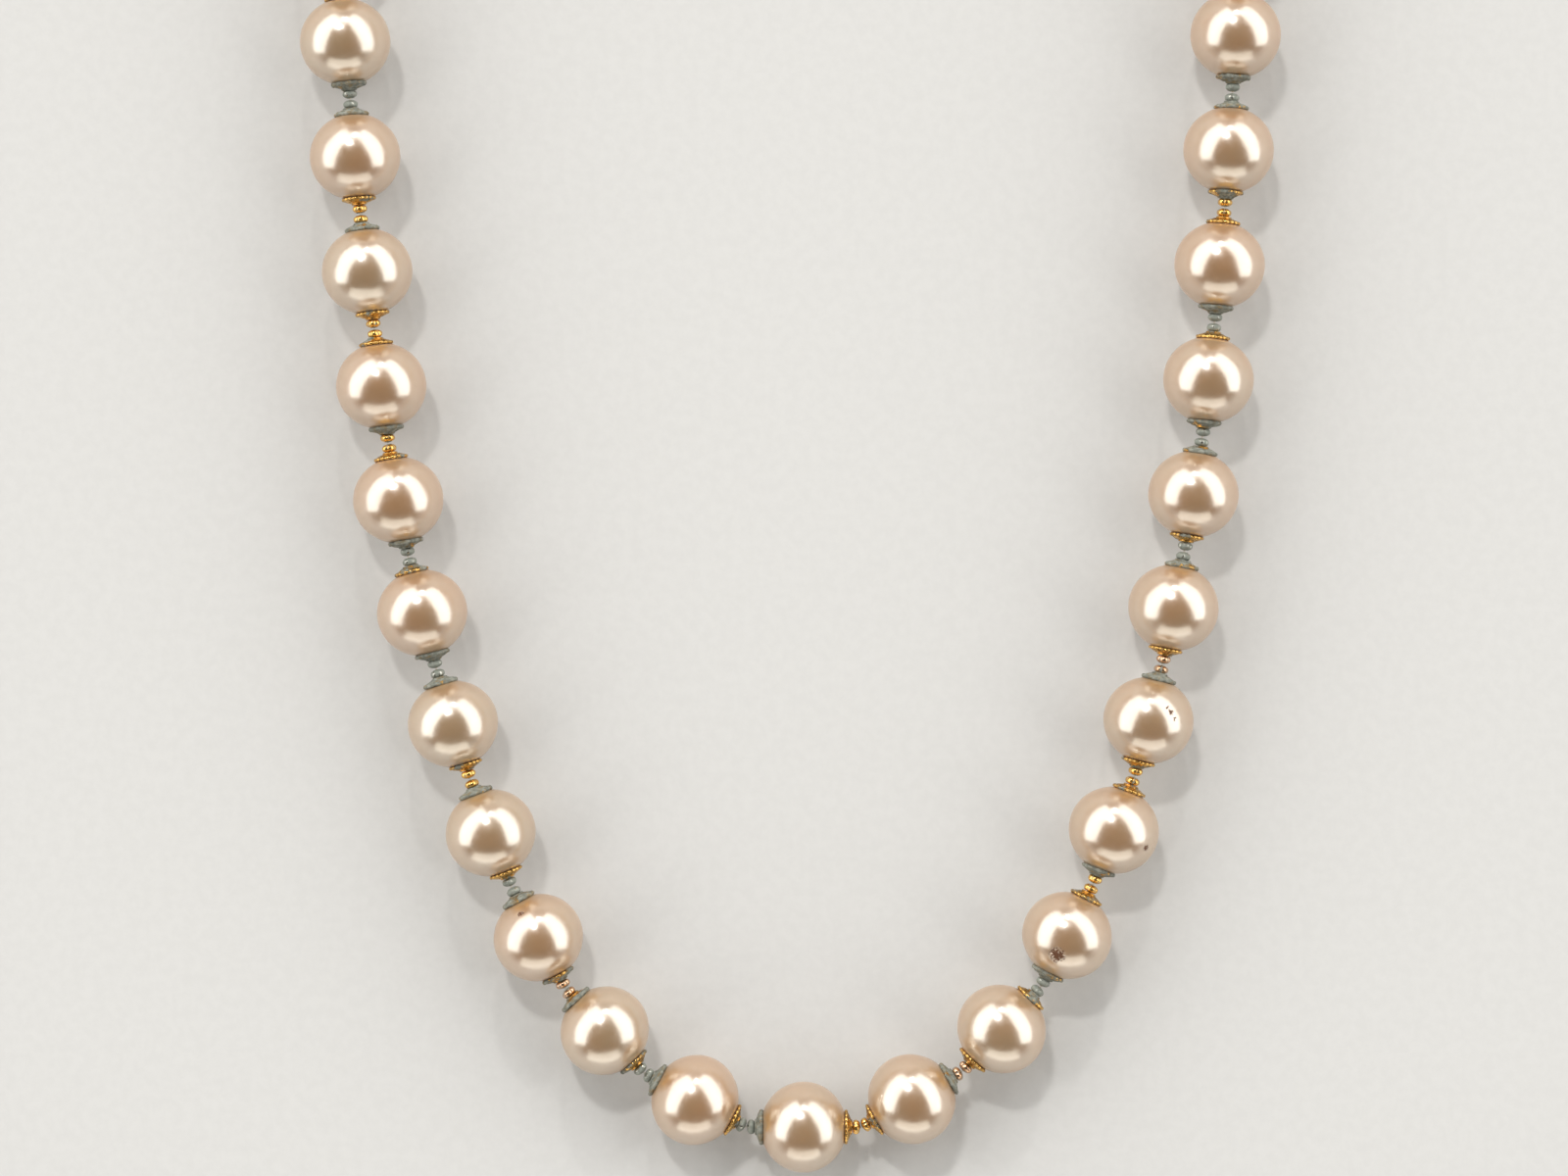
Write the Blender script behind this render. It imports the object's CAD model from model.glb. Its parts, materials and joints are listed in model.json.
"""A pearl necklace laid in a U with its clasp undone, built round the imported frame.

Each pearl is held between two granulated bead caps, with two small spacer beads in every gap and a
plied silk thread through all of them. A hook and an eye hang from jump rings at the two ends.
Everything is in metres, in the frame's own axes: +Z is up from the surface the necklace lies on.
"""
import json
import math

import bpy
import numpy as np
from bpy.props import FloatProperty, FloatVectorProperty, IntProperty, PointerProperty
from mathutils import Matrix

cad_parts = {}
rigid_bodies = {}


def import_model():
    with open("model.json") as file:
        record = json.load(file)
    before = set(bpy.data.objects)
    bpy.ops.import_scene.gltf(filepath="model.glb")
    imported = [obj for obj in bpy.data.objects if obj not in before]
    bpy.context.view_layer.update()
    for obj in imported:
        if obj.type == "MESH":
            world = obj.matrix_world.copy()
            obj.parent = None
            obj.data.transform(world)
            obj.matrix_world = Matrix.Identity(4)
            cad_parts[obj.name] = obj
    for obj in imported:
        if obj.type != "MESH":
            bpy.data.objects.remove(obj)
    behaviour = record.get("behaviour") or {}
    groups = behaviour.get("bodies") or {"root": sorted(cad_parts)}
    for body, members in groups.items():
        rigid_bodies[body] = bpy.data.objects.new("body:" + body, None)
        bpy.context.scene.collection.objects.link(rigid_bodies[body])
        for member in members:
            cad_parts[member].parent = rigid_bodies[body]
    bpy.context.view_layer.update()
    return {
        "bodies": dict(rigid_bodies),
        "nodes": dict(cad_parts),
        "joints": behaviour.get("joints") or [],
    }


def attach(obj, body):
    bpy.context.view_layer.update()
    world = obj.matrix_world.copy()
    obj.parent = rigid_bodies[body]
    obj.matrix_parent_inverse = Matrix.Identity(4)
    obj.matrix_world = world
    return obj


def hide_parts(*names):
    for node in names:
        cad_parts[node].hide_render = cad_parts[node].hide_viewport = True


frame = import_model()

bl_info = {
    "name": "Pearl Necklace",
    "version": (1, 0, 0),
    "blender": (4, 5, 0),
    "location": "View3D > Sidebar > Necklace",
    "description": "Builds a strand of pearls with bead caps, spacer beads, thread and clasp",
    "category": "Add Mesh",
}

MM = 0.001
TURN = 2 * math.pi
SEED = 35
PEARL_DRAWS, CAP_DRAWS, SPACER_DRAWS = 1, 2, 3


# ---- where the frame puts each bead ----
def unit(vectors):
    """One vector or many at length 1."""
    return vectors / np.linalg.norm(vectors, axis=-1, keepdims=True)


class Place:
    """A point with three axes: x out along the strand, y to its left, z up."""

    def __init__(self, origin, out):
        x = unit(np.array([out[0], out[1], 0.0]))
        z = np.array([0.0, 0.0, 1.0])
        self.origin = np.array(origin, float)
        self.axes = np.array([x, np.cross(z, x), z])

    def world(self, points):
        """Points given along this place's axes, in the frame's axes."""
        return self.origin + np.asarray(points) @ self.axes

    def local(self, points):
        """Points given in the frame's axes, along this place's axes."""
        return (np.asarray(points) - self.origin) @ self.axes.T

    def turned_round(self):
        """The same point with x pointing the other way along the strand."""
        return Place(self.origin, -self.axes[0])

    def tilted(self, angle):
        """The same point with x turned down by an angle about y."""
        x, y, z = self.axes
        tilted = Place(self.origin, x)
        down, up = math.sin(angle), math.cos(angle)
        tilted.axes = np.array([up * x - down * z, y, up * z + down * x])
        return tilted


PIVOTS = {joint["name"]: np.array(joint["pos_m"]) for joint in frame["joints"]}
CHILDREN = {joint["child"] for joint in frame["joints"]}
CENTRE = next(int(body[-2:]) for body in frame["bodies"] if body not in CHILDREN)
BEADS = sorted(int(body[-2:]) for body in frame["bodies"] if body.startswith("bead_"))
SIDES = {"left": BEADS[0], "right": BEADS[-1]}
HALF_PITCH = np.linalg.norm(PIVOTS[f"bend_{CENTRE + 1:02d}"] - PIVOTS[f"bend_{CENTRE - 1:02d}"]) / 2


def outer_pivot(bead):
    """The point that a bead's outward side turns on: the next bead's pivot, or the jump ring's."""
    if bead == SIDES["left"]:
        return PIVOTS["ring_swing_left"]
    if bead == SIDES["right"]:
        return PIVOTS["ring_swing_right"]
    return PIVOTS[f"bend_{bead - 1 if bead < CENTRE else bead + 1:02d}"]


def bead_place(bead, side="outer"):
    """A bead's place, with its origin in the middle of the pearl and x towards the given side."""
    inner = PIVOTS[f"bend_{CENTRE - 1 if bead == CENTRE else bead:02d}"]
    out = unit(outer_pivot(bead) - inner)
    place = Place(inner + HALF_PITCH * out, out)
    return place if side == "outer" else place.turned_round()


def extent(node, place):
    """A node's lowest and highest corners along a place's axes."""
    vertices = frame["nodes"][node].data.vertices
    points = np.empty(3 * len(vertices))
    vertices.foreach_get("co", points)
    along = place.local(points.reshape(-1, 3))
    return along.min(0), along.max(0)


def tie(bead, node, slot):
    """A bead's body, and the slot and node of its pearl or its findings. Where the frame has the
    pearl and its findings as one node, the slot and node are that node's."""
    body = f"bead_{bead:02d}"
    if f"{node}_{bead:02d}" in frame["nodes"]:
        return body, slot, f"{node}_{bead:02d}"
    return body, "capped_pearl", f"capped_pearl_{bead:02d}"


PEARL_HALF_LENGTH, PEARL_RADIUS = extent(f"pearl_{CENTRE:02d}", bead_place(CENTRE))[1][[0, 2]]
THREAD_END = extent(f"findings_{CENTRE:02d}", bead_place(CENTRE))[1][0]

# ---- finishes of single pieces ----
# how much of a cap is covered by verdigris
GILT, WORN, CRUSTED = 0.12, 0.5, 0.92
# each bead's inner cap, its outer cap, and the metal of the two spacer beads in the gap inside it
TONES = {
    7: (CRUSTED, GILT, "grey"),
    8: (GILT, CRUSTED, "gilt"),
    9: (GILT, CRUSTED, "gilt"),
    10: (CRUSTED, GILT, "gilt"),
    11: (CRUSTED, GILT, "grey"),
    12: (CRUSTED, WORN, "grey"),
    13: (GILT, CRUSTED, "gilt"),
    14: (GILT, CRUSTED, "grey"),
    15: (WORN, CRUSTED, "pink"),
    16: (WORN, CRUSTED, "grey"),
    17: (GILT, CRUSTED, "grey"),
    18: (CRUSTED, GILT, "grey"),
    19: (GILT, CRUSTED, "gilt"),
    20: (GILT, WORN, "pink"),
    21: (CRUSTED, GILT, "grey"),
    22: (CRUSTED, GILT, "gilt"),
    23: (GILT, CRUSTED, "gilt"),
    24: (GILT, CRUSTED, "pink"),
    25: (GILT, CRUSTED, "grey"),
    26: (CRUSTED, GILT, "grey"),
    27: (CRUSTED, GILT, "grey"),
    28: (WORN, WORN, "gilt"),
    29: (CRUSTED, GILT, "grey"),
}
# brown spots on pearls: where they are from the pearl's middle, in pearl radii, and how wide
SPOTS = {
    15: [(-0.35, 0.59, 0.32 * MM)],
    21: [(-0.28, -0.37, 0.75 * MM), (-0.16, -0.42, 0.3 * MM)],
    22: [(0.65, -0.35, 0.34 * MM)],
    23: [(0.43, 0.2, 0.24 * MM), (0.36, 0.31, 0.16 * MM), (0.5, 0.06, 0.14 * MM)],
}


def tones(bead):
    """A bead's tones, made up for the beads that go round the neck."""
    if bead in TONES:
        return TONES[bead]
    rng = np.random.default_rng([SEED, bead])
    gilt_inside = rng.random() < 0.5
    caps = (GILT, CRUSTED) if gilt_inside else (CRUSTED, GILT)
    return (*caps, str(rng.choice(["gilt", "grey", "grey", "pink"])))


# ---- meshes ----
def turned(outline, columns):
    """Rings of points of an outline turned round the strand; the outline is rows of (x, radius)."""
    outline = np.asarray(outline)
    angle = np.arange(columns) / columns * TURN
    x = np.repeat(outline[:, :1], columns, 1)
    return np.stack([x, outline[:, 1:] * np.cos(angle), outline[:, 1:] * np.sin(angle)], -1)


def swept(path, radii, columns, closed=False):
    """Rings of points of a tube of the given radii along a path."""
    path = np.asarray(path, float)
    radii = np.broadcast_to(radii, len(path))
    if closed:
        ahead = np.roll(path, -1, 0) - np.roll(path, 1, 0)
    else:
        ahead = np.gradient(path, axis=0)
    ahead = unit(ahead)
    across = np.cross(ahead[0], [0.3, 0.5, 0.8])
    angle = np.arange(columns) / columns * TURN
    rings = []
    for point, direction, radius in zip(path, ahead, radii):
        across = unit(across - direction * (across @ direction))
        up = np.cross(direction, across)
        rings.append(point + radius * (np.cos(angle)[:, None] * across + np.sin(angle)[:, None] * up))
    return np.array(rings)


def rounded_ends(path, radius, steps=6):
    """A path and radii that close a tube with a half ball at each end."""
    path = np.asarray(path, float)
    angles = np.linspace(0.08, 1, steps) * math.pi / 2
    first, last = unit(path[0] - path[1]), unit(path[-1] - path[-2])
    start = [path[0] + first * radius * math.cos(a) for a in angles[:-1]]
    end = [path[-1] + last * radius * math.cos(a) for a in angles[-2::-1]]
    sines = radius * np.sin(angles[:-1])
    radii = np.concatenate([sines, np.full(len(path), radius), sines[::-1]])
    return np.concatenate([start, path, end]), radii


def inside_out(points, faces):
    """True if the faces look inwards, which makes the volume inside them negative."""
    triangles = [(face[0], *face[i:i + 2]) for face in faces for i in range(1, len(face) - 1)]
    a, b, c = points[np.array(triangles)].transpose(1, 0, 2)
    return (a * np.cross(b, c)).sum() < 0


def skin(rings, joined=False):
    """Points and faces through rings of points. joined closes the last ring to the first, and
    otherwise a point at each end closes it."""
    rows, columns = rings.shape[:2]
    points = rings.reshape(-1, 3)
    row = np.arange(rows if joined else rows - 1)[:, None] + np.zeros(columns, int)
    column = np.arange(columns)[None] + np.zeros_like(row)
    next_row, next_column = (row + 1) % rows, (column + 1) % columns
    corners = [(row, column), (row, next_column), (next_row, next_column), (next_row, column)]
    faces = np.stack([r * columns + c for r, c in corners], -1).reshape(-1, 4).tolist()
    if not joined:
        ends = np.array([rings[0].mean(0), rings[-1].mean(0)])
        last = (rows - 1) * columns
        for i in range(columns):
            j = (i + 1) % columns
            faces.append([rows * columns, j, i])
            faces.append([rows * columns + 1, last + i, last + j])
        points = np.concatenate([points, ends])
    if inside_out(points, faces):
        faces = [face[::-1] for face in faces]
    return points, faces


def wire_loop(middle, radius, wire_radius):
    """A closed upright ring of wire round a point on the strand's axis."""
    angle = np.linspace(0, TURN, 72, endpoint=False)
    path = np.stack([middle + radius * np.cos(angle), 0 * angle, radius * np.sin(angle)], -1)
    return skin(swept(path, wire_radius, 22, closed=True), joined=True)


def together(*parts):
    """Several lots of points and faces as one."""
    points, faces, count = [], [], 0
    for part_points, part_faces in parts:
        faces += [[count + i for i in face] for face in part_faces]
        points.append(part_points)
        count += len(part_points)
    return np.concatenate(points), faces


def ripple(points, rng, wave, terms=10):
    """Smooth random heights from about -1 to 1, with waves of about the given length."""
    directions = unit(rng.normal(size=(terms, 3)))
    lengths = wave * rng.uniform(0.7, 1.6, terms)
    phases = rng.uniform(0, TURN, terms)
    waves = points.reshape(-1, 3) @ (directions * (TURN / lengths)[:, None]).T + phases
    return (np.sin(waves).sum(1) / math.sqrt(terms)).reshape(points.shape[:-1])


def ease(value, low, high):
    """0 below low, 1 above high, and a smooth rise between them."""
    t = np.clip((value - low) / (high - low), 0, 1)
    return t * t * (3 - 2 * t)


def ring_normals(rings):
    """The outward direction at each point of rings that close both ways round."""
    along = np.roll(rings, -1, 0) - np.roll(rings, 1, 0)
    around = np.roll(rings, -1, 1) - np.roll(rings, 1, 1)
    normals = unit(np.cross(around, along))
    at = np.argmax((rings[..., 1:] ** 2).sum(-1))
    outward = rings.reshape(-1, 3)[at] * [0, 1, 1]
    return normals * np.sign(normals.reshape(-1, 3)[at] @ outward)


def fused(parts, voxel):
    """Overlapping parts as one skin, softened where they meet. Parts and voxel are in metres."""
    points, faces = together(*parts)
    mesh = bpy.data.meshes.new("fusing")
    mesh.from_pydata((points / MM).tolist(), [], faces)
    piece = bpy.data.objects.new("fusing", mesh)
    bpy.context.scene.collection.objects.link(piece)
    remesh = piece.modifiers.new("remesh", "REMESH")
    remesh.mode = "VOXEL"
    remesh.voxel_size = voxel / MM
    smooth = piece.modifiers.new("smooth", "SMOOTH")
    smooth.iterations = 5
    made = piece.evaluated_get(bpy.context.evaluated_depsgraph_get()).data
    if not len(made.polygons):
        raise RuntimeError("the parts could not be fused into one skin")
    points = np.empty(3 * len(made.vertices))
    made.vertices.foreach_get("co", points)
    faces = [list(polygon.vertices) for polygon in made.polygons]
    bpy.data.objects.remove(piece)
    bpy.data.meshes.remove(mesh)
    return points.reshape(-1, 3) * MM, faces


def add_piece(name, shape, place, material, body, slot, node, sharp=None, **attributes):
    """Makes a piece from points and faces at a place, and ties it to the frame. sharp is the angle
    above which an edge isn't shaded smooth, and attributes are numbers kept at its points."""
    points, faces = shape
    mesh = bpy.data.meshes.new(name)
    mesh.from_pydata(place.world(points).tolist(), [], faces)
    if mesh.validate():
        raise RuntimeError(f"{name} has faces that are not valid")
    mesh.shade_smooth()
    if sharp is not None:
        mesh.set_sharp_from_angle(angle=sharp)
    for key, values in attributes.items():
        values = np.broadcast_to(np.asarray(values, float).ravel(), len(mesh.vertices))
        mesh.attributes.new(key, "FLOAT", "POINT").data.foreach_set("value", values.astype(np.float32))
    mesh.materials.append(material)
    piece = bpy.data.objects.new(name, mesh)
    bpy.context.scene.collection.objects.link(piece)
    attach(piece, body)
    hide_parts(node)


def add_finding(bead, name, shape, place, material, **attributes):
    """Makes a cap, a spacer bead or a stretch of thread."""
    add_piece(name, shape, place, material, *tie(bead, "findings", "caps_and_beads"), **attributes)


def add_clasp_piece(name, shape, place, settings, body, node, sharp=None):
    """Makes a piece of gilt wire."""
    material = made_material("gilt_wire", wire_metal, settings)
    add_piece(name, shape, place, material, body, "clasp", node, sharp)


# ---- material nodes ----
class Graph:
    """The nodes of a material or a world, added one at a time."""

    def __init__(self, owner):
        self.tree = owner.node_tree
        self.tree.nodes.clear()
        self.here = self.add("ShaderNodeTexCoord", output="Object")

    def add(self, kind, inputs=None, output=0, **settings):
        """A node's output; an input is a value or another node's output."""
        node = self.tree.nodes.new(kind)
        for key, value in settings.items():
            setattr(node, key, value)
        for key, value in (inputs or {}).items():
            if isinstance(value, bpy.types.NodeSocket):
                self.tree.links.new(value, node.inputs[key])
            else:
                node.inputs[key].default_value = value
        return node.outputs[output]

    def noise(self, wave, detail=2.0, roughness=0.5):
        """Cloudy noise from 0 to 1 with waves of the given length in metres."""
        inputs = {"Vector": self.here, "Scale": 1 / wave, "Detail": detail, "Roughness": roughness}
        return self.add("ShaderNodeTexNoise", inputs)

    def attribute(self, name):
        """A number kept at each point of the mesh."""
        return self.add("ShaderNodeAttribute", output="Fac", attribute_name=name)

    def rise(self, value, low, high, start=0.0, end=1.0):
        """A smooth rise from start to end as value goes from low to high."""
        keys = ("Value", "From Min", "From Max", "To Min", "To Max")
        inputs = dict(zip(keys, (value, low, high, start, end)))
        return self.add("ShaderNodeMapRange", inputs, interpolation_type="SMOOTHSTEP")

    def combine(self, operation, first, second):
        """Two numbers added, multiplied and so on."""
        return self.add("ShaderNodeMath", {0: first, 1: second}, operation=operation)

    def blend(self, share, first, second):
        """The first colour where share is 0 and the second where it is 1."""
        inputs = {0: share, 6: colour4(first), 7: colour4(second)}
        return self.add("ShaderNodeMix", inputs, output=2, data_type="RGBA")

    def bump(self, height, distance, under=None):
        """Shading normals of a height from 0 to 1 over the given distance in metres."""
        inputs = {"Height": height, "Distance": distance, "Strength": 1.0}
        if under is not None:
            inputs["Normal"] = under
        return self.add("ShaderNodeBump", inputs)

    def finish(self, inputs):
        """Ends the material in one Principled shader."""
        self.add_output(self.add("ShaderNodeBsdfPrincipled", inputs))

    def add_output(self, shader, kind="ShaderNodeOutputMaterial"):
        """Links the shader to the output."""
        node = self.tree.nodes.new(kind)
        self.tree.links.new(shader, node.inputs["Surface"])


def colour4(value):
    """A colour of three numbers with its alpha; a node's output stays as it is."""
    if isinstance(value, bpy.types.NodeSocket):
        return value
    return (*value[:3], 1.0)


def shade(colour, factor):
    """A colour made darker or paler."""
    return tuple(min(1.0, channel * factor) for channel in colour)


def made_material(name, make, *values):
    """The material of that name, made the first time it is asked for."""
    material = bpy.data.materials.get(name)
    if material is None:
        material = bpy.data.materials.new(name)
        material.use_nodes = True
        make(Graph(material), *values)
    return material


def nacre(g, look):
    """Champagne nacre: a satin lustre under a soft coat, with stains and brown spots."""
    tint = g.combine("ADD", g.attribute("tint"), g.rise(g.noise(7 * MM), 0.3, 0.7, -0.3, 0.3))
    base = g.blend(tint, look.nacre_warm, look.nacre_cool)
    cloud = g.rise(g.noise(1.6 * MM, 4.0, 0.6), 0.35, 0.75, 0.0, 0.22)
    base = g.blend(cloud, base, shade(look.nacre_warm, 1.18))
    ragged = g.noise(0.5 * MM, 5.0, 0.65)
    stain = g.combine("MULTIPLY", g.attribute("stain"), g.rise(ragged, 0.3, 0.65, 0.0, 0.65))
    base = g.blend(stain, base, look.stain)
    near_spot = g.rise(g.attribute("spot"), 0.0, 0.3)
    uneven = g.combine("MULTIPLY", g.rise(g.noise(0.25 * MM, 4.0), 0.2, 0.8, -0.5, 0.5), near_spot)
    spot = g.rise(g.combine("ADD", g.attribute("spot"), uneven), 0.3, 0.5)
    base = g.blend(spot, base, look.spot)
    dull = g.combine("MAXIMUM", spot, g.combine("MULTIPLY", stain, 0.6))
    lustre = g.blend(dull, look.lustre, shade(look.lustre, 0.1))
    low, high = look.roughness - 0.02, look.roughness + 0.04
    satin = g.rise(g.noise(0.9 * MM, 4.0, 0.6), 0.3, 0.75, low, high)
    roughness = g.combine("MAXIMUM", satin, g.combine("MULTIPLY", spot, 0.75))
    skin_bump = g.bump(g.noise(0.5 * MM, 2.0), 0.0004 * MM)
    normal = g.bump(spot, -0.05 * MM, skin_bump)
    g.finish({
        "Base Color": base, "Roughness": roughness, "Normal": normal,
        "IOR": 4.2, "Specular Tint": lustre, "Coat Weight": g.rise(spot, 0.0, 1.0, 0.6, 0.1),
        "Coat Roughness": 0.38, "Coat IOR": 2.0,
        "Sheen Weight": 0.22, "Sheen Roughness": 0.45, "Sheen Tint": colour4(look.sheen),
    })


def cap_metal(g, look):
    """Gilt stamped brass, dirty in its hollows and covered here and there by verdigris."""
    wear = g.rise(g.noise(1.1 * MM, 4.0, 0.6), 0.35, 0.7)
    gold = g.blend(wear, look.gilt, shade(look.gilt, 0.62))
    uneven = g.rise(g.noise(0.3 * MM, 4.0), 0.3, 0.7, -0.35, 0.35)
    hollow = g.combine("ADD", g.attribute("hollow"), uneven)
    dirt = g.rise(hollow, 0.45, 0.95, 0.0, 0.85)
    gold = g.blend(dirt, gold, look.dirt)
    ragged = g.rise(g.noise(0.45 * MM, 5.0, 0.7), 0.25, 0.75, -0.32, 0.32)
    crust = g.rise(g.combine("ADD", g.attribute("crust"), ragged), 0.42, 0.56)
    chalk = g.rise(g.noise(0.6 * MM, 4.0, 0.6), 0.35, 0.7)
    patina = g.blend(chalk, look.verdigris, look.verdigris_pale)
    patina = g.blend(g.rise(g.noise(0.8 * MM, 3.0), 0.5, 0.68, 0.0, 0.8), patina, look.verdigris_tan)
    base = g.blend(crust, gold, patina)
    polish = g.rise(wear, 0.0, 1.0, 0.2, 0.38)
    matt = g.combine("MAXIMUM", g.combine("MULTIPLY", crust, 0.88), g.combine("MULTIPLY", dirt, 0.7))
    grain = g.bump(g.noise(0.12 * MM, 4.0, 0.7), 0.02 * MM)
    normal = g.bump(crust, 0.06 * MM, grain)
    g.finish({
        "Base Color": base, "Metallic": g.rise(crust, 0.0, 0.9, 1.0, 0.0),
        "Roughness": g.combine("MAXIMUM", polish, matt), "Normal": normal,
    })


def bead_metal(g, look, colour, tarnish):
    """Plated metal of the small beads, with dull patches of tarnish."""
    in_hollow = g.rise(g.attribute("hollow"), 0.0, 1.0, 0.0, 0.25)
    patch = g.combine("ADD", g.noise(0.7 * MM, 4.0, 0.65), in_hollow)
    dull = g.rise(patch, 0.72 - 0.35 * tarnish, 0.88 - 0.3 * tarnish)
    base = g.blend(dull, colour, look.tarnish)
    base = g.blend(g.rise(g.noise(0.3 * MM, 3.0), 0.55, 0.75, 0.0, 0.5), base, shade(colour, 0.5))
    roughness = g.rise(dull, 0.0, 1.0, 0.22, 0.68)
    g.finish({
        "Base Color": base, "Metallic": g.rise(dull, 0.0, 1.0, 0.95, 0.25), "Roughness": roughness,
        "Normal": g.bump(g.noise(0.15 * MM, 4.0, 0.6), 0.015 * MM),
    })


def silk(g, look):
    """Plied silk thread, a little grubby, with fine fibres along it."""
    grubby = g.rise(g.noise(2.2 * MM, 4.0, 0.6), 0.35, 0.7, 0.0, 0.55)
    base = g.blend(grubby, look.silk, shade(look.silk, 0.5))
    base = g.blend(g.rise(g.attribute("hollow"), 0.2, 1.0, 0.0, 0.6), base, shade(look.silk, 0.3))
    fibre = g.noise(0.06 * MM, 3.0, 0.7)
    g.finish({
        "Base Color": base, "Roughness": g.rise(fibre, 0.3, 0.7, 0.55, 0.75),
        "Normal": g.bump(fibre, 0.02 * MM), "Sheen Weight": 0.4, "Sheen Roughness": 0.3,
    })


def wire_metal(g, look):
    """Gilt wire, rubbed pale where it is handled, with fine scratches and brown tarnish in its joints."""
    rubbed = g.rise(g.noise(2.4 * MM, 4.0, 0.6), 0.42, 0.68)
    base = g.blend(rubbed, look.gilt, look.rubbed)
    tarnish = g.rise(g.noise(1.3 * MM, 5.0, 0.65), 0.56, 0.7, 0.0, 0.7)
    base = g.blend(tarnish, base, look.dirt)
    scratch_axes = g.add("ShaderNodeMapping", {"Vector": g.here, "Scale": (1.0, 9.0, 4.0)})
    inputs = {"Vector": scratch_axes, "Scale": 1 / (0.8 * MM), "Detail": 5.0}
    scratches = g.add("ShaderNodeTexNoise", inputs)
    rough = g.rise(scratches, 0.35, 0.7, 0.14, 0.3)
    roughness = g.combine("ADD", rough, g.combine("MULTIPLY", tarnish, 0.35))
    g.finish({
        "Base Color": base, "Metallic": g.rise(tarnish, 0.0, 0.7, 1.0, 0.7), "Roughness": roughness,
        "Normal": g.bump(scratches, 0.0025 * MM),
    })


def floor_paper(g, look):
    """Pale seamless paper with a very soft grain."""
    grain = g.noise(1.5 * MM, 5.0, 0.6)
    base = g.blend(g.rise(grain, 0.3, 0.7), look.floor, shade(look.floor, 0.97))
    g.finish({
        "Base Color": base, "Roughness": g.rise(grain, 0.3, 0.7, 0.85, 0.95),
        "Normal": g.bump(grain, 0.02 * MM),
    })


# ---- settings ----
def number(name, description, default, **settings):
    """A number above 0, with a unit or subtype where it has one."""
    return FloatProperty(name=name, description=description, default=default, min=0.0, **settings)


def length(name, description, default, top=0.05):
    """A length in metres."""
    return number(name, description, default, max=top, precision=6, unit="LENGTH")


def colour(name, description, default):
    """A linear colour."""
    limits = {"min": 0.0, "max": 1.0, "size": 3, "subtype": "COLOR"}
    return FloatVectorProperty(name=name, description=description, default=default, **limits)


def count(name, description, default):
    """A whole number of repeats."""
    return IntProperty(name=name, description=description, default=default, min=3, max=512)


class PearlSettings(bpy.types.PropertyGroup):
    """Sizes and colours of the pearls."""

    hole_diameter: length("Hole", "Diameter of the drill hole", 0.8 * MM)
    lip: length("Hole lip", "Radius of the worn lip of the drill hole", 0.12 * MM)
    unevenness: length("Unevenness", "Height of the nacre's soft waves", 0.02 * MM)
    columns: count("Columns", "Mesh columns round a pearl", 112)
    roughness: number("Satin", "Roughness of the nacre under its coat", 0.225, max=1.0, subtype="FACTOR")
    nacre_warm: colour("Warm nacre", "Warmest champagne of the nacre", (0.37, 0.18, 0.06))
    nacre_cool: colour("Cool nacre", "Coolest champagne of the nacre", (0.345, 0.205, 0.088))
    lustre: colour("Lustre", "Tint of the nacre's reflections", (1.0, 0.975, 0.89))
    sheen: colour("Rim", "Tint of a pearl's rim", (1.0, 0.90, 0.87))
    stain: colour("Stain", "Yellow-brown stain beside a corroded cap", (0.34, 0.22, 0.09))
    spot: colour("Spot", "Rust-brown spots", (0.11, 0.036, 0.010))


class FindingsSettings(bpy.types.PropertyGroup):
    """Sizes and colours of the bead caps, spacer beads and thread."""

    rim_diameter: length("Cap rim", "Diameter of a bead cap's rim", 4.6 * MM)
    neck_diameter: length("Cap neck", "Diameter of a bead cap's neck", 1.9 * MM)
    sheet: length("Cap sheet", "Thickness of a bead cap's metal", 0.26 * MM)
    seat: length("Cap seat", "Gap between a cap and its pearl", 0.03 * MM)
    granule: length("Granule", "Radius of the grains on a cap's rim", 0.22 * MM)
    granules: count("Granules", "Grains round a cap's rim", 17)
    flare: number("Flare", "Shape of a cap's side, hollow below 1 and domed above 1", 1.15)
    petals: count("Petals", "Petals stamped in a cap", 8)
    petal_depth: length("Petal depth", "Depth of the stamping between petals", 0.09 * MM)
    crust_height: length("Crust", "Thickness of the verdigris crust", 0.07 * MM)
    spacer_diameter: length("Spacer", "Diameter of a spacer bead", 2.0 * MM)
    lobes: count("Lobes", "Lobes round a spacer bead", 5)
    spacer_length: length("Spacer length", "Length of a spacer bead", 1.1 * MM)
    bend_gap: length("Bend gap", "Slack between two facing spacer beads", 0.2 * MM)
    hole_diameter: length("Metal hole", "Hole through the caps and spacer beads", 0.7 * MM)
    thread_diameter: length("Thread", "Diameter of the thread", 0.6 * MM)
    plies: count("Plies", "Plies in the thread", 3)
    lay: length("Lay", "Length of one turn of the plies", 1.8 * MM)
    gilt: colour("Gilt", "Bright gilt metal", (0.78, 0.47, 0.14))
    grey: colour("Grey metal", "Worn grey metal of some spacer beads", (0.42, 0.42, 0.37))
    pink: colour("Pink metal", "Pinkish gilt of some spacer beads", (0.66, 0.42, 0.26))
    tarnish: colour("Tarnish", "Dull grey-green tarnish", (0.27, 0.29, 0.25))
    verdigris: colour("Verdigris", "Verdigris crust", (0.155, 0.163, 0.135))
    verdigris_pale: colour("Pale verdigris", "Chalky top of the crust", (0.31, 0.318, 0.27))
    verdigris_tan: colour("Tan verdigris", "Patches of the crust stained brown", (0.22, 0.16, 0.075))
    dirt: colour("Dirt", "Red-brown dirt in hollows", (0.14, 0.055, 0.018))
    silk: colour("Silk", "Thread colour", (0.62, 0.53, 0.36))


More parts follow.
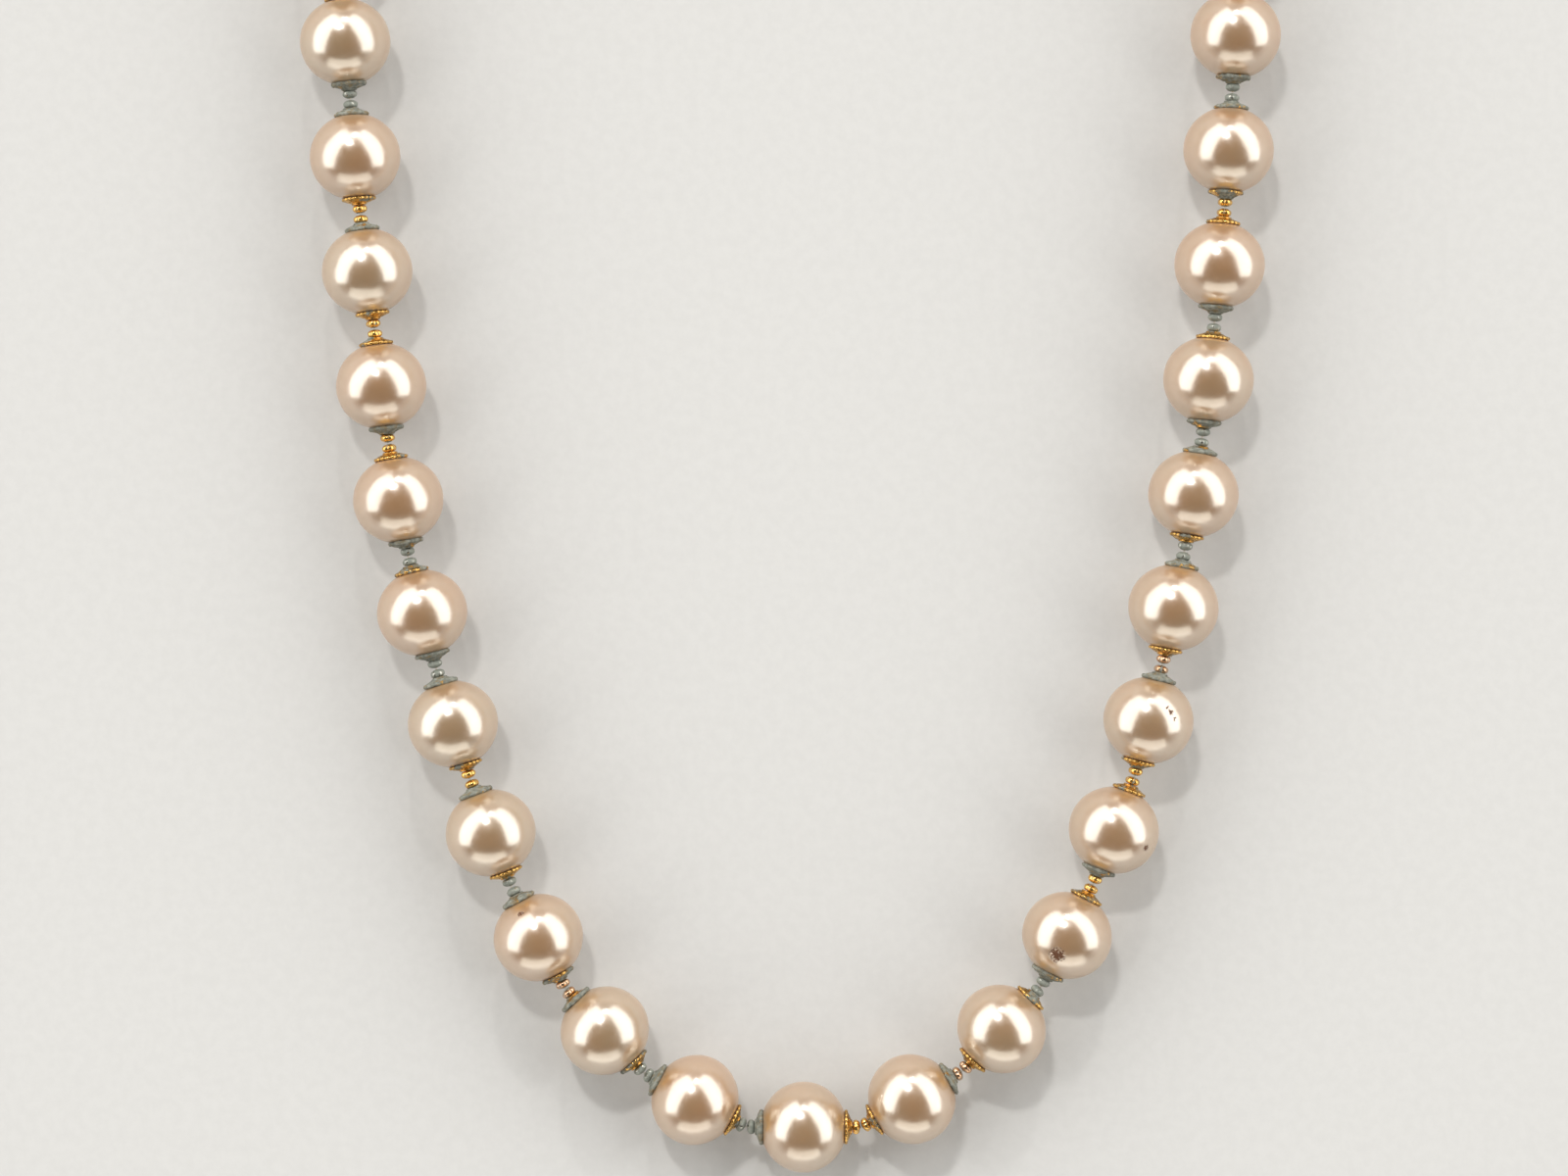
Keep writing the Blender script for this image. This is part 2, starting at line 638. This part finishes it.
class ClaspSettings(bpy.types.PropertyGroup):
    """Sizes and colours of the bead tips, jump rings, hook and eye."""

    wire_diameter: length("Wire", "Diameter of the hook's wire", 1.0 * MM)
    loop_wire_diameter: length("Loop wire", "Wire diameter of the clasp's own loops", 0.84 * MM)
    loop_radius: length("Loop", "Mean radius of the clasp's own loops", 1.1 * MM)
    ball_diameter: length("Ball", "Diameter of the ball on the hook's tip", 1.5 * MM)
    return_leg: length("Return leg", "Length of the hook's return leg", 4.5 * MM)
    bend_radius: length("Bend", "Mean radius of the hook's bend", 2.2 * MM)
    shank_depth: length("Shank depth", "Depth of the shank below the middle of its loop", 1.05 * MM)
    eye_diameter: length("Eye", "Outside diameter of the eye", 8.4 * MM)
    eye_hole: length("Eye hole", "Diameter of the hole in the eye", 5.0 * MM)
    eye_thickness: length("Eye thickness", "Thickness of the eye", 1.2 * MM)
    tip_diameter: length("Bead tip", "Diameter of a bead tip's shell", 2.6 * MM)
    tip_wall: length("Bead tip wall", "Wall of a bead tip's shell", 0.35 * MM)
    tip_loop_wire: length("Tip loop wire", "Wire diameter of a bead tip's loop", 0.6 * MM)
    ring_diameter: length("Jump ring", "Mean diameter of a jump ring", 5.6 * MM)
    ring_wire: length("Jump ring wire", "Wire diameter of a jump ring", 0.8 * MM)
    gilt: colour("Gilt", "Bright gilt wire", (0.78, 0.50, 0.18))
    rubbed: colour("Rubbed gilt", "Gilt rubbed pale by handling", (0.80, 0.62, 0.36))
    dirt: colour("Dirt", "Brown tarnish", (0.16, 0.08, 0.03))


class StageSettings(bpy.types.PropertyGroup):
    """The floor, the lights and the camera."""

    floor: colour("Floor", "Colour of the floor", (0.62, 0.615, 0.60))
    floor_width: length("Floor width", "Side of the floor", 13.6, top=100.0)
    view_width: length("View width", "Width of the strand's level that the camera sees", 208 * MM, top=1.0)
    view_side: length("View side", "How far left of the centre pearl the view's middle is", 2.6 * MM)
    view_up: length("View up", "How far up from the centre pearl the view's middle is", 71.5 * MM, top=1.0)
    lens: number("Lens", "Focal length", 100.0, subtype="DISTANCE_CAMERA")
    panel_power: number("Panels", "Power of each side panel", 540.0, unit="POWER")
    fill_power: number("Fill", "Power of the low fill panel", 190.0, unit="POWER")
    spark_power: number("Sparks", "Power of the small lamps", 75.0, unit="POWER")
    room: colour("Room", "Colour of the room's light", (1.0, 0.98, 0.95))
    wall_light: number("Walls", "Brightness of the room at eye level", 0.62)
    ceiling_light: number("Ceiling", "Brightness of the room overhead", 0.1)


SETTINGS = {
    "necklace_pearls": PearlSettings,
    "necklace_findings": FindingsSettings,
    "necklace_clasp": ClaspSettings,
    "necklace_stage": StageSettings,
}


# ---- pearls ----
def pearl_height(radius, gap=0.0):
    """How far along the strand a pearl's surface is at a distance from its axis."""
    half_length, widest = PEARL_HALF_LENGTH + gap, PEARL_RADIUS + gap
    return half_length * math.sqrt(max(0.0, 1 - (radius / widest) ** 2))


def pearl_outline(settings):
    """A drilled pearl's outline, round the outside from lip to lip and back through the hole."""
    hole, lip = settings.hole_diameter / 2, settings.lip
    start = math.asin((hole + lip) / PEARL_RADIUS)
    angles = np.linspace(start, math.pi - start, 66)
    outside = [(PEARL_HALF_LENGTH * math.cos(a), PEARL_RADIUS * math.sin(a)) for a in angles]
    end = outside[0][0] - lip
    quarter = np.linspace(0, math.pi / 2, 5)[1:]
    far_lip = [(-end - lip * math.cos(a), hole + lip - lip * math.sin(a)) for a in quarter]
    tube = [(x, hole) for x in np.linspace(-end, end, 12)[1:-1]]
    near_lip = [(-x, r) for x, r in far_lip[::-1]]
    return outside + far_lip + tube + near_lip


def spot_field(points, place, bead):
    """1 in the middle of the bead's brown spots, 0.5 at their edge, and less outside them."""
    field = np.zeros(points.shape[:-1])
    for right, up, radius in SPOTS.get(bead, ()):
        middle = np.array([right, up, math.sqrt(1 - right**2 - up**2)]) * PEARL_RADIUS
        middle = middle @ place.axes.T
        away = np.linalg.norm(points - middle, axis=-1)
        field = np.maximum(field, np.clip(1 - away / (2 * radius), 0, 1))
    return field


def add_pearl(bead, settings, findings):
    """Makes one drilled pearl."""
    place = bead_place(bead)
    rng = np.random.default_rng([SEED, PEARL_DRAWS, bead])
    rings = turned(pearl_outline(settings), settings.columns)
    distance = np.linalg.norm(rings[..., 1:], axis=-1)
    outside = ease(distance, 0.6 * MM, 1.4 * MM)
    waves = 0.7 * ripple(rings, rng, 6 * MM) + 0.3 * ripple(rings, rng, 2.2 * MM)
    spot = spot_field(rings, place, bead)
    height = outside * (settings.unevenness * waves - 0.06 * MM * ease(spot, 0.3, 0.8))
    rings += unit(rings) * height[..., None]
    inner_crust, outer_crust, _ = tones(bead)
    crust = np.where(rings[..., 0] > 0, outer_crust, inner_crust)
    rim = findings.rim_diameter / 2
    reach = rng.uniform(0.5, 1.5) * MM * (0.7 + 0.6 * ripple(rings, rng, 3 * MM))
    stain = ease(crust, 0.3, 1.0) * np.exp(-np.maximum(distance - rim, 0) / np.maximum(reach, 0.15 * MM))
    tint = np.full(distance.shape, rng.uniform(0.05, 0.95))
    add_piece(
        f"drilled_pearl_{bead:02d}", skin(rings, joined=True), place,
        made_material("champagne_nacre", nacre, settings), *tie(bead, "pearl", "pearl"),
        tint=tint, stain=stain, spot=spot,
    )


# ---- bead caps ----
def scallops(angle, number_round, depth):
    """1 on top of each of a number of half rounds side by side, and less between them."""
    phase = (angle * number_round / TURN) % 1.0 * 2 - 1
    return np.sqrt(1 - (depth * phase) ** 2)


def cap_top(settings):
    """How far along the strand a cap's neck ends."""
    return HALF_PITCH - settings.bend_gap / 2 - settings.spacer_length


def cap_outline(settings):
    """A cap's outline: the inside from the hole to the rim, round the granulated rim, and back up the
    sloping outside to the neck. Also returns which rows are on the rim and the middle of its roll."""
    hole, neck = settings.hole_diameter / 2, settings.neck_diameter / 2
    granule, top = settings.granule, cap_top(settings)
    roll_radius = settings.rim_diameter / 2 - granule
    roll = (pearl_height(roll_radius, settings.seat) + granule * 1.02, roll_radius)
    collar_height = 0.2 * MM
    foot, shoulder = roll[0] + granule * 0.85, top - collar_height

    def outer(radius):
        """Height of the sloping outside at a distance from the strand's axis."""
        climb = 1 - (max(0.0, radius - neck) / (roll_radius - neck)) ** settings.flare
        return foot + (shoulder - foot) * climb

    def inner(radius):
        """Height of the inside, which is the sheet's thickness below or just clear of the pearl."""
        return max(pearl_height(radius, settings.seat), outer(max(radius, neck)) - settings.sheet)

    inside = [(inner(r), r) for r in np.linspace(hole, roll_radius - granule * 0.75, 5)]
    rim_angles = np.linspace(-0.78, 0.72, 11) * math.pi
    around = [(roll[0] + granule * math.sin(a), roll[1] + granule * math.cos(a)) for a in rim_angles]
    radii = neck + (roll_radius - granule * 0.9 - neck) * np.linspace(1, 0, 9) ** 2
    slope = [(outer(r), r) for r in radii]
    edge = 0.08 * MM
    collar = [
        (shoulder + 0.04 * MM, neck + 0.05 * MM), (shoulder + 0.1 * MM, neck + 0.08 * MM),
        (top - edge, neck + 0.03 * MM), (top - edge * 0.3, neck - edge * 0.5), (top, neck - edge * 1.6),
        (top, hole + edge), (top - edge * 0.4, hole + edge * 0.2), (top - edge * 1.5, hole),
    ]
    rows = inside + around + slope + collar
    on_rim = np.zeros(len(rows), bool)
    on_rim[len(inside):len(inside) + len(around)] = True
    return rows, on_rim, np.array(roll)


def add_cap(bead, side, crust, settings):
    """Makes one bead cap: stamped petals, a granulated rim, a plain collar and its verdigris."""
    rng = np.random.default_rng([SEED, CAP_DRAWS, bead, side == "outer"])
    outline, on_rim, roll = cap_outline(settings)
    columns = 8 * settings.granules
    rings = turned(outline, columns)
    angle = np.arange(columns) / columns * TURN + rng.uniform(0, TURN)
    along, distance = rings[..., 0], np.linalg.norm(rings[..., 1:], axis=-1)
    buried = 0.55 * crust

    granule_shape = scallops(angle, settings.granules, 0.97)
    unevenness = 0.018 * rng.normal(size=columns)
    grain = 1 - (1 - buried) * 0.8 * (1 - granule_shape) + unevenness
    roll_points = turned([roll], columns)
    rings[on_rim] = roll_points + (rings[on_rim] - roll_points) * grain[:, None]

    neck, rim = settings.neck_diameter / 2, settings.rim_diameter / 2
    level = ease(distance, neck * 1.05, neck * 1.35) * (1 - ease(distance, rim * 0.78, rim * 0.88))
    row, rim_rows = np.arange(len(outline))[:, None], np.flatnonzero(on_rim)
    inside = row < rim_rows[0]
    outside = ((row > rim_rows[-1]) | (along > pearl_height(0) - 0.1 * MM)) & ~inside
    petals = np.abs(np.sin(angle * settings.petals / 2))
    valley = (1 - ease(petals, 0.0, 0.45)) * level * outside
    pierced = np.exp(-(((distance - rim * 0.62) / (0.16 * MM)) ** 2))
    pierced = pierced * ease(petals, 0.86, 1.0) * outside * level
    fall = settings.petal_depth * (1 - buried) * (valley + 1.1 * pierced)
    lumps = 0.5 + 0.5 * ripple(rings, rng, 0.9 * MM)
    cover = np.clip(crust + 0.35 * ripple(rings, rng, 2.4 * MM), 0, 1)
    built_up = settings.crust_height * ease(cover, 0.35, 0.75) * (0.3 + lumps)
    rings += ring_normals(rings) * (built_up * ~inside - fall)[..., None]
    rings[..., 0] += 0.015 * MM * np.sin(angle + rng.uniform(0, TURN)) * ~inside

    hollow = np.clip(valley + pierced + on_rim[:, None] * (1 - granule_shape) * 1.2, 0, 1)
    add_finding(
        bead, f"bead_cap_{bead:02d}_{side}", skin(rings, joined=True), bead_place(bead, side),
        made_material("gilt_cap", cap_metal, settings),
        hollow=np.maximum(hollow, inside * 0.9), crust=cover,
    )


# ---- spacer beads ----
def spacer_outline(settings):
    """A spacer bead's outline: oval towards its neighbour, which leans on it, and fatter behind."""
    hole, radius = settings.hole_diameter / 2, settings.spacer_diameter / 2
    half, edge = settings.spacer_length / 2, 0.04 * MM
    least = (hole + edge) / radius
    start = math.asin(least)
    rows = []
    for angle in np.linspace(start, math.pi - start, 21):
        x, r = math.cos(angle), math.sin(angle)
        if x < 0:
            x = -abs(x) ** 0.8
            r = start + (1 - start) * ((r - least) / (1 - least)) ** 0.5
        rows.append((half * x, radius * r))
    front, back = rows[0][0] - edge, rows[-1][0] + edge
    return rows + [(back, hole), (0.0, hole), (front, hole)]


def add_spacer(bead, side, metal, settings):
    """Makes one spacer bead, a ring of soft lobes that is a little dented."""
    rng = np.random.default_rng([SEED, SPACER_DRAWS, bead, side == "outer"])
    columns = 60
    rings = turned(spacer_outline(settings), columns)
    distance = np.linalg.norm(rings[..., 1:], axis=-1)
    belly = ease(distance, settings.hole_diameter * 0.6, settings.spacer_diameter * 0.42)
    dents = ripple(rings, rng, 1.3 * MM)
    turn = np.arange(columns) / columns * TURN + rng.uniform(0, TURN)
    lobe = scallops(turn, settings.lobes, 0.96)
    rings[..., 1:] *= (1 - belly * (0.02 * (0.6 + dents) + 0.17 * (1 - lobe)))[..., None]
    middle = HALF_PITCH - settings.bend_gap / 2 - settings.spacer_length / 2
    rings[..., 0] = middle + rings[..., 0] * 0.985
    tarnish = {"gilt": 0.25, "grey": 1.0, "pink": 0.45}[metal]
    tone = tuple(getattr(settings, metal))
    add_finding(
        bead, f"spacer_bead_{bead:02d}_{side}", skin(rings, joined=True), bead_place(bead, side),
        made_material(f"{metal}_spacer", bead_metal, settings, tone, tarnish),
        hollow=np.maximum(1 - belly, 1.2 * (1 - lobe)).clip(0, 1),
    )


# ---- thread ----
def add_thread(bead, settings, clasp):
    """Makes the stretch of plied thread inside one bead, and the end knot on the last ones."""
    radius = settings.thread_diameter / 2
    last = bead in SIDES.values()
    end = tip_middle(clasp) if last else THREAD_END - radius
    path = np.zeros((120, 3))
    path[:, 0] = np.linspace(-THREAD_END + radius, end, len(path))
    path, radii = rounded_ends(path, radius)
    rings = swept(path, radii, 30)
    angle = np.arctan2(rings[..., 2], rings[..., 1])
    twist = angle - path[:, 0][:, None] / settings.lay * TURN
    ply = np.abs(np.sin(twist * settings.plies / 2))
    rings[..., 1:] *= (0.8 + 0.2 * ply**0.6)[..., None]
    shape = skin(rings)
    hollow = np.append((1 - ply).ravel(), [0, 0])
    if last:
        coil = knot_path(end, settings.thread_diameter)
        knot = skin(swept(coil, radius * 0.62, 14, closed=True), joined=True)
        hollow = np.append(hollow, np.zeros(len(knot[0])))
        shape = together(shape, knot)
    add_finding(
        bead, f"stringing_thread_{bead:02d}", shape, bead_place(bead),
        made_material("silk_thread", silk, settings), hollow=hollow,
    )


def knot_path(middle, size):
    """An overhand knot drawn tight round the end of the thread."""
    turn = np.linspace(0, TURN, 90, endpoint=False)
    wide = size * 0.42
    y = (np.sin(turn) + 2 * np.sin(2 * turn)) / 3 * wide
    z = (np.cos(turn) - 2 * np.cos(2 * turn)) / 3 * wide
    x = middle - 0.1 * MM - np.sin(3 * turn) * size * 0.3
    return np.stack([x, y, z], -1)


# ---- clasp ----
CLASP_SWINGS = {"left": "hook_swing", "right": "eye_swing"}


def tip_middle(settings):
    """How far along the strand the middle of a bead tip's shell is."""
    return HALF_PITCH + settings.tip_diameter / 2


def add_bead_tip(side, settings, findings):
    """Makes a bead tip: two half shells closed over the knot, with a loop at the end."""
    place = bead_place(SIDES[side])
    outside, inside = settings.tip_diameter / 2, settings.tip_diameter / 2 - settings.tip_wall
    hole, middle = findings.hole_diameter / 2, tip_middle(settings)

    def arc(radius, first, last, steps):
        """Rows of a round shell between two angles from its outward end."""
        angles = np.linspace(first, last, steps)
        return [(middle + radius * math.cos(a), radius * math.sin(a)) for a in angles]

    lip, inner_lip = math.asin(hole / outside) * 1.25, math.asin(hole / inside) * 1.1
    outer = arc(outside, 0.02, math.pi - lip, 44)
    inner = arc(inside, math.pi - inner_lip, 0.03, 30)
    throat = [(middle - outside * 0.98 * math.cos(lip * 0.75), hole), (middle - inside * 1.06, hole)]
    rings = turned(outer + throat + inner, 96)
    out = unit(rings - [middle, 0, 0])
    shell = (np.arange(len(rings)) < len(outer))[:, None]
    groove_width, groove_depth = 0.05 * MM, 0.07 * MM
    groove = np.exp(-((rings[..., 1] / groove_width) ** 2)) * shell
    rings -= out * (groove_depth * groove)[..., None]
    loop_middle = place.local(outer_pivot(SIDES[side]))[0]
    loop = wire_loop(loop_middle, loop_middle - middle - outside, settings.tip_loop_wire / 2)
    shape = fused([skin(rings), loop], 0.04 * MM)
    body = f"bead_{SIDES[side]:02d}"
    add_clasp_piece(f"clamshell_tip_{side}", shape, place, settings, body, f"bead_tip_{side}")


def add_jump_ring(side, settings):
    """Makes a jump ring of round wire, its cut ends facing each other across a hairline."""
    place = bead_place(SIDES[side])
    pivot, far = (place.local(PIVOTS[name]) for name in (f"ring_swing_{side}", CLASP_SWINGS[side]))
    lean = math.atan2(pivot[2] - far[2], far[0] - pivot[0])
    ring_place = Place(place.world((pivot + far) / 2), place.axes[0]).tilted(lean)
    radius, wire = settings.ring_diameter / 2, settings.ring_wire / 2
    slit = math.radians(1.6)
    angle = np.linspace(slit, TURN - slit, 150) + math.pi / 2
    path = np.stack([radius * np.cos(angle), radius * np.sin(angle), 0 * angle], -1)
    radii = np.full(len(path), wire)
    radii[[0, -1]] = 0.8 * wire
    name = f"jump_ring_{side}"
    shape = skin(swept(path, radii, 30))
    add_clasp_piece(f"split_ring_{side}", shape, ring_place, settings, name, name, math.radians(40))


def clasp_place(side):
    """The middle of the clasp's own loop, with the last bead's axes."""
    return Place(PIVOTS[CLASP_SWINGS[side]], bead_place(SIDES[side]).axes[0])


def clasp_loop(settings):
    """The upright loop that the jump ring passes through."""
    return wire_loop(0.0, settings.loop_radius, settings.loop_wire_diameter / 2)


def add_hook(settings):
    """Makes the hook: a straight shank, a half-round bend and a return leg with a ball on its tip."""
    place = clasp_place("left")
    low, high = extent("clasp_hook", place)
    wire, bend, depth = settings.wire_diameter / 2, settings.bend_radius, settings.shank_depth
    bend_x = high[0] - wire - bend
    tip_x = bend_x - settings.return_leg
    arc = np.linspace(0, math.pi, 40)
    path = [(x, 0.0, -depth) for x in np.linspace(-0.6 * MM, bend_x, 40)[:-1]]
    path += [(bend_x + bend * math.sin(a), -bend + bend * math.cos(a), -depth) for a in arc]
    path += [(x, -2 * bend, -depth) for x in np.linspace(bend_x, tip_x, 24)[1:]]
    shank = skin(swept(*rounded_ends(path, wire), 32))
    ball = settings.ball_diameter / 2
    angles = np.linspace(0.03, math.pi - 0.03, 26)
    knob = turned([(ball * math.cos(a), ball * math.sin(a)) for a in angles], 40)
    knob += [tip_x, -2 * bend, low[2] + ball]
    shape = fused([clasp_loop(settings), shank, skin(knob)], 0.06 * MM)
    add_clasp_piece("wire_hook", shape, place, settings, "clasp_hook", "clasp_hook")


def add_eye(settings):
    """Makes the eye: a flat ring with rounded edges, a short shank and its own loop."""
    place = clasp_place("right")
    low, high = extent("clasp_eye", place)
    outside, hole = settings.eye_diameter / 2, settings.eye_hole / 2
    middle_x, edge, bevel = high[0] - outside, settings.eye_thickness / 2, 0.15 * MM
    angles = np.linspace(-1.5, 1.5, 15)
    rows = [(edge * math.sin(a), outside - edge + edge * math.cos(a)) for a in angles]
    rows += [(edge, hole + bevel), (edge - bevel * 0.3, hole + bevel * 0.3), (edge - bevel, hole)]
    rows += [(-edge + bevel, hole), (-edge + bevel * 0.3, hole + bevel * 0.3), (-edge, hole + bevel)]
    flat = turned(rows, 120)
    ring = np.stack([flat[..., 1], flat[..., 2], flat[..., 0]], -1) + [middle_x, 0, low[2] + edge]
    path = [(x, 0.0, -settings.shank_depth) for x in np.linspace(-0.6 * MM, middle_x - hole - edge, 12)]
    shank = skin(swept(*rounded_ends(path, settings.wire_diameter / 2), 32))
    shape = fused([clasp_loop(settings), shank, skin(ring, joined=True)], 0.06 * MM)
    add_clasp_piece("ring_eye", shape, place, settings, "clasp_eye", "clasp_eye")


# ---- stage ----
def add_panel(name, target, ends, width, power, tint):
    """A flat light between two ends, given from the target that it faces."""
    middle, span = np.mean(ends, 0), np.subtract(ends[1], ends[0])
    back = unit(middle)
    along = unit(span - back * (span @ back))
    lamp = bpy.data.lights.new(name, "AREA")
    lamp.shape = "RECTANGLE"
    lamp.size, lamp.size_y = float(np.linalg.norm(span)), width
    lamp.energy, lamp.color = power, tint
    holder = bpy.data.objects.new(name, lamp)
    bpy.context.scene.collection.objects.link(holder)
    axes = np.array([along, np.cross(back, along), back]).T
    matrix = np.eye(4)
    matrix[:3, :3], matrix[:3, 3] = axes, target + middle
    holder.matrix_world = Matrix(matrix.tolist())
    holder.visible_camera = False


class NECKLACE_OT_pearls(bpy.types.Operator):
    """Make every drilled pearl"""

    bl_idname = "necklace.pearls"
    bl_label = "Pearls"

    def execute(self, context):
        for bead in BEADS:
            add_pearl(bead, context.scene.necklace_pearls, context.scene.necklace_findings)
        return {"FINISHED"}


class NECKLACE_OT_bead_caps(bpy.types.Operator):
    """Make the two bead caps of every pearl"""

    bl_idname = "necklace.bead_caps"
    bl_label = "Bead Caps"

    def execute(self, context):
        for bead in BEADS:
            inner_crust, outer_crust, _ = tones(bead)
            add_cap(bead, "inner", inner_crust, context.scene.necklace_findings)
            add_cap(bead, "outer", outer_crust, context.scene.necklace_findings)
        return {"FINISHED"}


class NECKLACE_OT_spacer_beads(bpy.types.Operator):
    """Make the two spacer beads of every gap"""

    bl_idname = "necklace.spacer_beads"
    bl_label = "Spacer Beads"

    def execute(self, context):
        settings = context.scene.necklace_findings
        for bead in BEADS:
            next_out = bead - 1 if bead < CENTRE else bead + 1
            inner = tones(CENTRE - 1 if bead == CENTRE else bead)[2]
            add_spacer(bead, "inner", inner, settings)
            add_spacer(bead, "outer", tones(next_out)[2], settings)
        return {"FINISHED"}


class NECKLACE_OT_thread(bpy.types.Operator):
    """Make the stretches of stringing thread and its end knots"""

    bl_idname = "necklace.thread"
    bl_label = "Thread"

    def execute(self, context):
        for bead in BEADS:
            add_thread(bead, context.scene.necklace_findings, context.scene.necklace_clasp)
        return {"FINISHED"}


class NECKLACE_OT_bead_tips(bpy.types.Operator):
    """Make the two bead tips that close over the end knots"""

    bl_idname = "necklace.bead_tips"
    bl_label = "Bead Tips"

    def execute(self, context):
        for side in SIDES:
            add_bead_tip(side, context.scene.necklace_clasp, context.scene.necklace_findings)
        return {"FINISHED"}


class NECKLACE_OT_jump_rings(bpy.types.Operator):
    """Make the two jump rings"""

    bl_idname = "necklace.jump_rings"
    bl_label = "Jump Rings"

    def execute(self, context):
        for side in SIDES:
            add_jump_ring(side, context.scene.necklace_clasp)
        return {"FINISHED"}


class NECKLACE_OT_hook(bpy.types.Operator):
    """Make the clasp's hook"""

    bl_idname = "necklace.hook"
    bl_label = "Hook"

    def execute(self, context):
        add_hook(context.scene.necklace_clasp)
        return {"FINISHED"}


class NECKLACE_OT_eye(bpy.types.Operator):
    """Make the clasp's eye"""

    bl_idname = "necklace.eye"
    bl_label = "Eye"

    def execute(self, context):
        add_eye(context.scene.necklace_clasp)
        return {"FINISHED"}


class NECKLACE_OT_stage(bpy.types.Operator):
    """Make the floor, the lights and the camera"""

    bl_idname = "necklace.stage"
    bl_label = "Stage"

    def execute(self, context):
        scene, settings = context.scene, context.scene.necklace_stage
        half = settings.floor_width / 2
        mesh = bpy.data.meshes.new("floor")
        corners = [(-half, -half, 0), (half, -half, 0), (half, half, 0), (-half, half, 0)]
        mesh.from_pydata(corners, [], [(0, 1, 2, 3)])
        mesh.materials.append(made_material("floor_paper", floor_paper, settings))
        floor = bpy.data.objects.new("floor", mesh)
        scene.collection.objects.link(floor)

        centre_pearl = bead_place(CENTRE).origin
        target = centre_pearl + [-settings.view_side, settings.view_up, 0]
        white, warm = (1.0, 0.99, 0.97), (1.0, 0.96, 0.87)
        panel_width, fill_width, spark_width, spark_half = 4.8, 4.2, 0.35, 0.25
        for side in (-1, 1):
            ends = [(side * 7.5, -4.2, 2.4), (side * 2.25, 8.5, 4.2)]
            add_panel(f"side_panel_{side}", target, ends, panel_width, settings.panel_power, white)
        ends = [(-5.2, -7.2, 2.3), (5.2, -7.2, 2.3)]
        add_panel("low_fill", target, ends, fill_width, settings.fill_power, warm)
        for across, away in ((-0.9, 3.0), (0.25, 6.5)):
            ends = [(across - spark_half, away, 4.25), (across + spark_half, away, 4.25)]
            add_panel(f"spark_{away}", target, ends, spark_width, settings.spark_power, white)

        world = bpy.data.worlds.new("room")
        world.use_nodes = True
        room = Graph(world)
        direction = room.add("ShaderNodeTexCoord", output="Generated")
        height = room.add("ShaderNodeSeparateXYZ", {"Vector": direction}, output="Z")
        horizon, overhead = 0.02, 0.4
        strength = room.rise(height, horizon, overhead, settings.wall_light, settings.ceiling_light)
        light = {"Color": (*settings.room, 1.0), "Strength": strength}
        room.add_output(room.add("ShaderNodeBackground", light), "ShaderNodeOutputWorld")
        scene.world = world

        camera = bpy.data.cameras.new("camera")
        camera.lens, camera.sensor_width = settings.lens, 36.0
        camera.clip_start, camera.clip_end = 0.01, 50.0
        holder = bpy.data.objects.new("camera", camera)
        holder.location = target + [0, 0, settings.view_width * settings.lens / camera.sensor_width]
        scene.collection.objects.link(holder)
        scene.camera = holder
        scene.view_settings.view_transform = "Standard"
        return {"FINISHED"}


class NECKLACE_PT_parts(bpy.types.Panel):
    """The necklace's pieces, in the order in which they are made"""

    bl_idname = "NECKLACE_PT_parts"
    bl_label = "Pearl Necklace"
    bl_space_type = "VIEW_3D"
    bl_region_type = "UI"
    bl_category = "Necklace"

    def draw(self, context):
        for operator in OPERATORS:
            self.layout.operator(operator.bl_idname)
        for key in SETTINGS:
            settings = getattr(context.scene, key)
            column = self.layout.column(heading=key)
            for name in settings.__annotations__:
                column.prop(settings, name)


OPERATORS = (
    NECKLACE_OT_pearls,
    NECKLACE_OT_bead_caps,
    NECKLACE_OT_spacer_beads,
    NECKLACE_OT_thread,
    NECKLACE_OT_bead_tips,
    NECKLACE_OT_jump_rings,
    NECKLACE_OT_hook,
    NECKLACE_OT_eye,
    NECKLACE_OT_stage,
)
CLASSES = (*SETTINGS.values(), *OPERATORS, NECKLACE_PT_parts)


def register():
    """Registers the classes and puts the settings on the scene."""
    for item in CLASSES:
        bpy.utils.register_class(item)
    for key, group in SETTINGS.items():
        setattr(bpy.types.Scene, key, PointerProperty(type=group))


def unregister():
    """Takes the settings off the scene and the classes out again."""
    for key in SETTINGS:
        delattr(bpy.types.Scene, key)
    for item in reversed(CLASSES):
        bpy.utils.unregister_class(item)


def main():
    """Makes the whole necklace and its stage, and writes how large the frame and the necklace are."""
    register()
    bpy.ops.necklace.pearls()
    bpy.ops.necklace.bead_caps()
    bpy.ops.necklace.spacer_beads()
    bpy.ops.necklace.thread()
    bpy.ops.necklace.bead_tips()
    bpy.ops.necklace.jump_rings()
    bpy.ops.necklace.hook()
    bpy.ops.necklace.eye()
    bpy.ops.necklace.stage()


if __name__ == "__main__":
    main()
